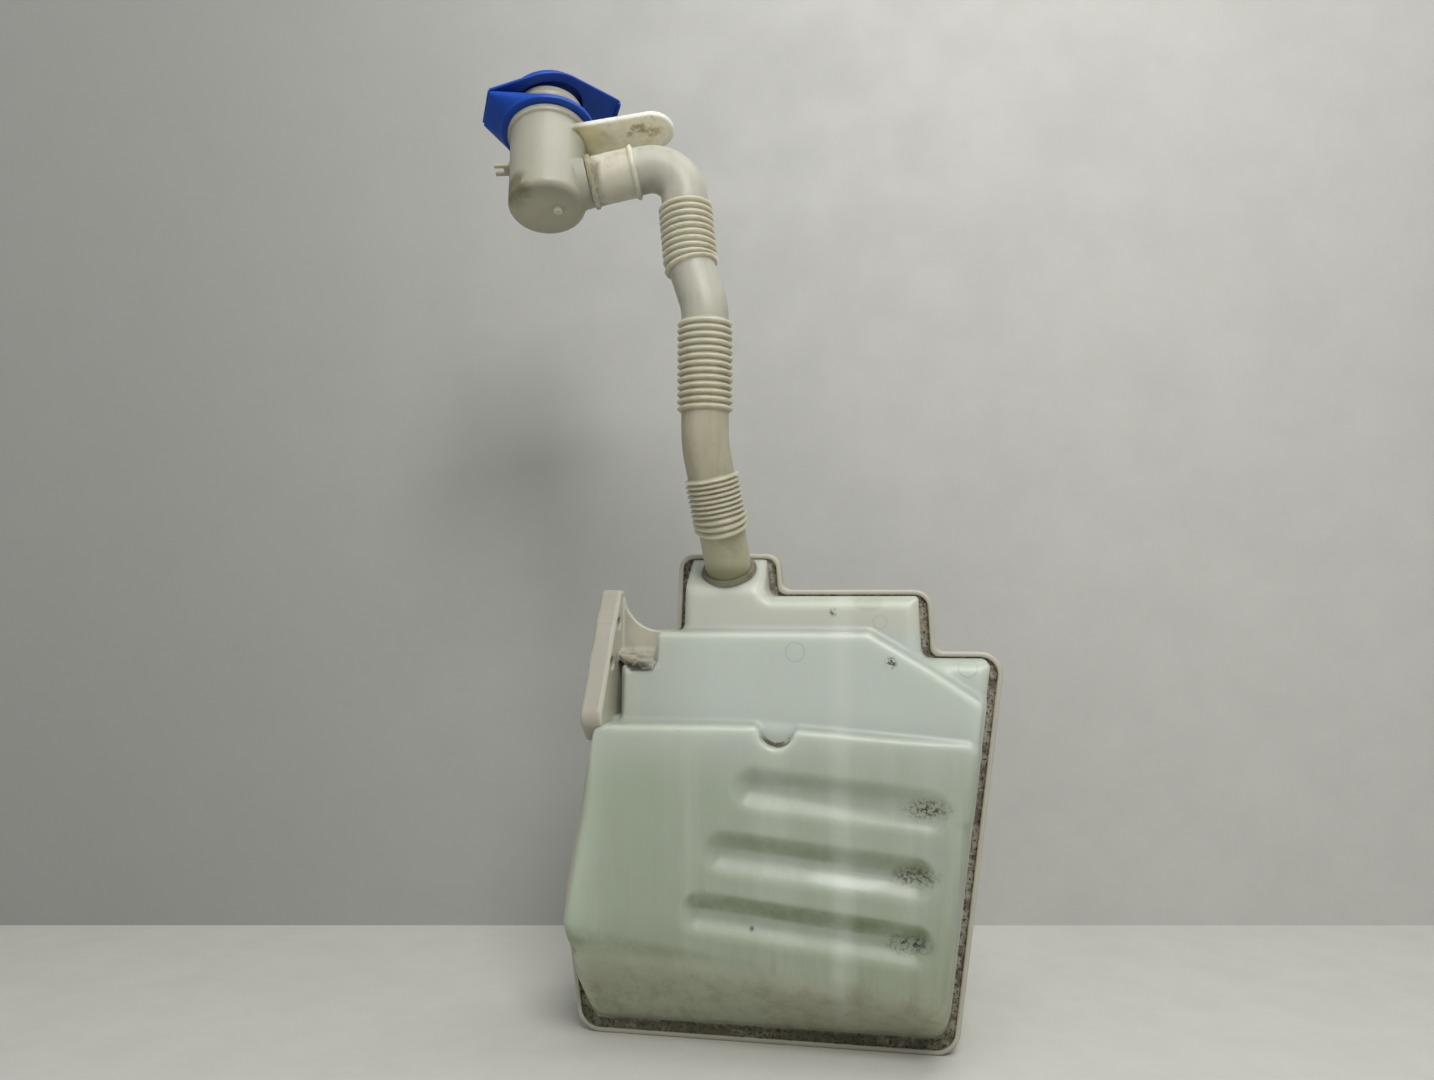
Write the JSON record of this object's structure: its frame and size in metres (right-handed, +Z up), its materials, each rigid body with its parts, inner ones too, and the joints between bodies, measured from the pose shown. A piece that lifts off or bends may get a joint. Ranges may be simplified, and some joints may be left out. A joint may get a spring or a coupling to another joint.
{
  "type": "washer fluid reservoir",
  "caption": "Moulded washer fluid tank in welded halves, with a corrugated filler pipe, a tilted filler head and a hinged flip cap.",
  "frame": {"origin": "on the floor under the weld flange, at the middle of the tank's foot", "axes": "+Z up, -Y towards the grooved front, +X towards the wide shoulder, weld plane at y = 0"},
  "size_m": [0.3408, 0.1659, 0.6441],
  "materials": {
    "tank": "satin, milky and slightly translucent, with grime in the weld flange",
    "pipe": "satin, cream and translucent, yellower at the bellows",
    "head": "satin, cream and translucent, with smudges",
    "cap": "satin, saturated blue",
    "rubber": "matt, dark olive"
  },
  "bodies": {
    "reservoir": {"front_shell": "tank", "rear_shell": "tank", "neck_seal": "rubber", "filler_pipe": "pipe", "head_seal": "rubber", "filler_head": "head", "cap_collar": "cap", "pump_grommet": "rubber"},
    "lid": {"cap_lid": "cap"}
  },
  "joints": [
    {"name": "lid_hinge", "type": "hinge", "parent": "reservoir", "child": "lid", "pos_m": [-0.18113, -0.05085, 0.61783], "axis": [0.4552, -0.8046, 0.3814], "range_deg": [-12, 110]}
  ]
}
